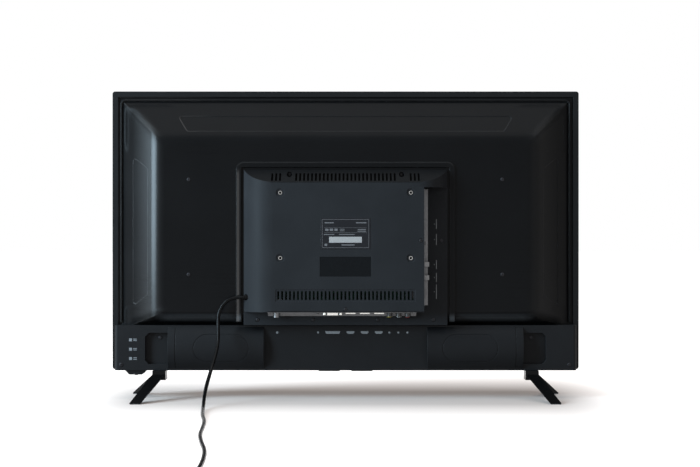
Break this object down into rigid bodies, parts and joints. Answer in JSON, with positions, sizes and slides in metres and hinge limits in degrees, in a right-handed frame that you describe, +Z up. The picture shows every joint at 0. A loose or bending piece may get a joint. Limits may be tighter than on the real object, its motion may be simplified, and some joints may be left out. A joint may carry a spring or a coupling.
{
  "type": "flat screen tv",
  "caption": "Flat screen television on two spread feet, with a vented electronics cover, side and bottom sockets and a mains lead at the back.",
  "frame": {"origin": "on the table, below the middle of the cabinet and midway between the front and back tips of the feet", "axes": "+X to the right of someone who watches the screen, +Y from the screen to the back, +Z up"},
  "size_m": [0.732, 1.1126, 0.48],
  "materials": {
    "cabinet_plastic": "fine matt texture, black",
    "tray_steel": "fine powder coat, black",
    "screen_glass": "dark screen, anti-glare",
    "foam": "closed foam, black",
    "white_sheet": "matt white",
    "clear_lens": "clear moulded",
    "lamp_board": "white lacquered aluminium strip",
    "screw_steel": "black oxide",
    "post_steel": "zinc plated",
    "label_film": "satin film, blank",
    "foot_plastic": "black, semi-gloss",
    "pad_rubber": "matt black",
    "circuit_board": "green solder mask",
    "dark_component": "black moulding",
    "capacitor_sleeve": "dark sleeve",
    "bare_aluminium": "extruded",
    "socket_metal": "nickel plated",
    "terminal_steel": "black coated sheet with bare edges",
    "socket_plastic": "black moulding",
    "speaker_plastic": "black moulding",
    "speaker_cone": "treated paper",
    "magnet": "dark ferrite in a steel cup",
    "receiver_window": "dark red",
    "key_plastic": "black moulding",
    "cord_sheath": "smooth black sheath",
    "plug_plastic": "black moulding",
    "pin_metal": "nickel plated brass",
    "tie_plastic": "black strip"
  },
  "bodies": {
    "set": {"front_bezel": "cabinet_plastic", "middle_frame": "cabinet_plastic", "lower_cover": "cabinet_plastic", "electronics_cover": "cabinet_plastic", "control_pod": "cabinet_plastic", "rear_tray": "tray_steel", "lcd_panel": "screen_glass", "panel_gasket": "foam", "optical_films": "white_sheet", "diffuser_plate": "white_sheet", "reflector_sheet": "white_sheet", "lamp_lenses": "clear_lens", "lamp_strips": "lamp_board", "tray_screws": "screw_steel", "cover_screws": "screw_steel", "board_screws": "screw_steel", "foot_screws": "screw_steel", "wall_mount_posts": "post_steel", "board_spacers": "post_steel", "label_plate": "label_film", "foot_left": "foot_plastic", "foot_right": "foot_plastic", "foot_pads": "pad_rubber", "main_board": "circuit_board", "power_board": "circuit_board", "key_board": "circuit_board", "processor_chip": "dark_component", "power_transformer": "dark_component", "mains_choke": "dark_component", "joystick_housing": "dark_component", "capacitors": "capacitor_sleeve", "heat_sink": "bare_aluminium", "card_slot": "socket_metal", "data_sockets": "socket_metal", "network_socket": "socket_metal", "video_sockets": "socket_metal", "monitor_socket": "socket_metal", "aerial_socket": "socket_metal", "phono_jacks": "socket_metal", "side_terminal_plate": "terminal_steel", "bottom_terminal_plate": "terminal_steel", "earphone_jack": "socket_plastic", "audio_socket": "socket_plastic", "speaker_frames": "speaker_plastic", "speaker_cones": "speaker_cone", "speaker_magnets": "magnet", "receiver_lens": "receiver_window", "cord_gland": "cord_sheath", "cord_run": "cord_sheath", "cord_coil": "cord_sheath", "cord_tail": "cord_sheath", "plug_body": "plug_plastic", "plug_pins": "pin_metal", "cord_tie": "tie_plastic"},
    "key_ring": {"joystick_cradle": "key_plastic"},
    "key_rod": {"joystick_stem": "key_plastic"},
    "key_knob": {"joystick_cap": "key_plastic"}
  },
  "joints": [
    {"name": "key_tilt_fore_and_aft", "type": "hinge", "parent": "set", "child": "key_ring", "pos_m": [0.327, -0.011, 0.052], "axis": [1, 0, 0], "range_deg": [-6, 6], "stiffness_Nm_per_rad": 0.05},
    {"name": "key_tilt_sideways", "type": "hinge", "parent": "key_ring", "child": "key_rod", "pos_m": [0.327, -0.011, 0.052], "axis": [0, 1, 0], "range_deg": [-6, 6], "stiffness_Nm_per_rad": 0.05},
    {"name": "key_press", "type": "slide", "parent": "key_rod", "child": "key_knob", "axis": [0, 0, 1], "range_m": [0, 0.0006], "stiffness_N_per_m": 800, "springref_m": -0.0005}
  ]
}
